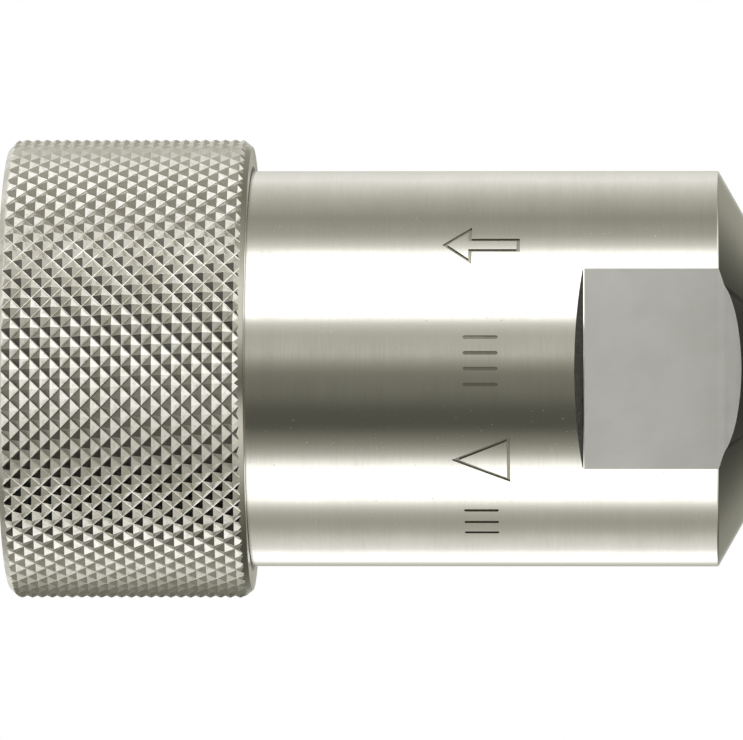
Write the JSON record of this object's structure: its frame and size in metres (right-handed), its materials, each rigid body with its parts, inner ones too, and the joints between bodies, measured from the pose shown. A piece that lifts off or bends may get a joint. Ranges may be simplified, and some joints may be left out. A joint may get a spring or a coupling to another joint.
{
  "type": "quick coupling socket",
  "caption": "Hydraulic quick-coupling socket: knurled sliding sleeve, ball lock and a spring-loaded check valve inside a round body with two wrench flats.",
  "frame": {"origin": "centre of the rear port face", "axes": "+Z along the coupling axis towards the mating mouth; the wrench flats face +Y and -Y"},
  "size_m": [0.0348, 0.0348, 0.056],
  "materials": {
    "nickel_body": "satin nickel over turned steel",
    "nickel_sleeve": "nickel over diamond knurl",
    "ball_steel": "polished bearing steel",
    "spring_steel": "drawn spring wire",
    "ring_steel": "phosphated steel",
    "washer_steel": "nickel",
    "valve_steel": "turned, nickel",
    "guide_brass": "turned brass",
    "nitrile": "moulded nitrile rubber",
    "ptfe": "white PTFE"
  },
  "bodies": {
    "body": {"coupling_body": "nickel_body", "sleeve_stop_ring": "ring_steel", "plug_o_ring": "nitrile", "backup_ring": "ptfe", "valve_guide": "guide_brass", "guide_circlip": "ring_steel", "sleeve_spring": "spring_steel", "valve_spring": "spring_steel"},
    "washer": {"spring_washer": "washer_steel"},
    "sleeve": {"locking_sleeve": "nickel_sleeve"},
    "poppet": {"valve_poppet": "valve_steel", "valve_seal": "nitrile"},
    "ball_1": {"lock_ball_1": "ball_steel"},
    "ball_2": {"lock_ball_2": "ball_steel"},
    "ball_3": {"lock_ball_3": "ball_steel"},
    "ball_4": {"lock_ball_4": "ball_steel"},
    "ball_5": {"lock_ball_5": "ball_steel"},
    "ball_6": {"lock_ball_6": "ball_steel"},
    "ball_7": {"lock_ball_7": "ball_steel"},
    "ball_8": {"lock_ball_8": "ball_steel"}
  },
  "joints": [
    {"name": "sleeve_slide", "type": "slide", "parent": "body", "child": "washer", "axis": [0, 0, -1], "range_m": [0, 0.0035], "stiffness_N_per_m": 4000, "springref_m": -0.004, "deforming": ["sleeve_spring"]},
    {"name": "sleeve_spin", "type": "hinge", "parent": "washer", "child": "sleeve", "pos_m": [0, 0, 0.0461], "axis": [0, 0, 1], "continuous": true},
    {"name": "poppet_slide", "type": "slide", "parent": "body", "child": "poppet", "axis": [0, 0, -1], "range_m": [0, 0.0045], "stiffness_N_per_m": 2500, "springref_m": -0.004, "deforming": ["valve_spring"]},
    {"name": "ball_1_slide", "type": "slide", "parent": "body", "child": "ball_1", "axis": [0.9239, 0.3827, 0], "range_m": [0, 0.0009]},
    {"name": "ball_2_slide", "type": "slide", "parent": "body", "child": "ball_2", "axis": [0.3827, 0.9239, 0], "range_m": [0, 0.0009]},
    {"name": "ball_3_slide", "type": "slide", "parent": "body", "child": "ball_3", "axis": [-0.3827, 0.9239, 0], "range_m": [0, 0.0009]},
    {"name": "ball_4_slide", "type": "slide", "parent": "body", "child": "ball_4", "axis": [-0.9239, 0.3827, 0], "range_m": [0, 0.0009]},
    {"name": "ball_5_slide", "type": "slide", "parent": "body", "child": "ball_5", "axis": [-0.9239, -0.3827, 0], "range_m": [0, 0.0009]},
    {"name": "ball_6_slide", "type": "slide", "parent": "body", "child": "ball_6", "axis": [-0.3827, -0.9239, 0], "range_m": [0, 0.0009]},
    {"name": "ball_7_slide", "type": "slide", "parent": "body", "child": "ball_7", "axis": [0.3827, -0.9239, 0], "range_m": [0, 0.0009]},
    {"name": "ball_8_slide", "type": "slide", "parent": "body", "child": "ball_8", "axis": [0.9239, -0.3827, 0], "range_m": [0, 0.0009]}
  ],
  "couplings": [
    {"joint": "ball_1_slide", "follows": "sleeve_slide", "ratio": 0.25},
    {"joint": "ball_2_slide", "follows": "sleeve_slide", "ratio": 0.25},
    {"joint": "ball_3_slide", "follows": "sleeve_slide", "ratio": 0.25},
    {"joint": "ball_4_slide", "follows": "sleeve_slide", "ratio": 0.25},
    {"joint": "ball_5_slide", "follows": "sleeve_slide", "ratio": 0.25},
    {"joint": "ball_6_slide", "follows": "sleeve_slide", "ratio": 0.25},
    {"joint": "ball_7_slide", "follows": "sleeve_slide", "ratio": 0.25},
    {"joint": "ball_8_slide", "follows": "sleeve_slide", "ratio": 0.25}
  ]
}
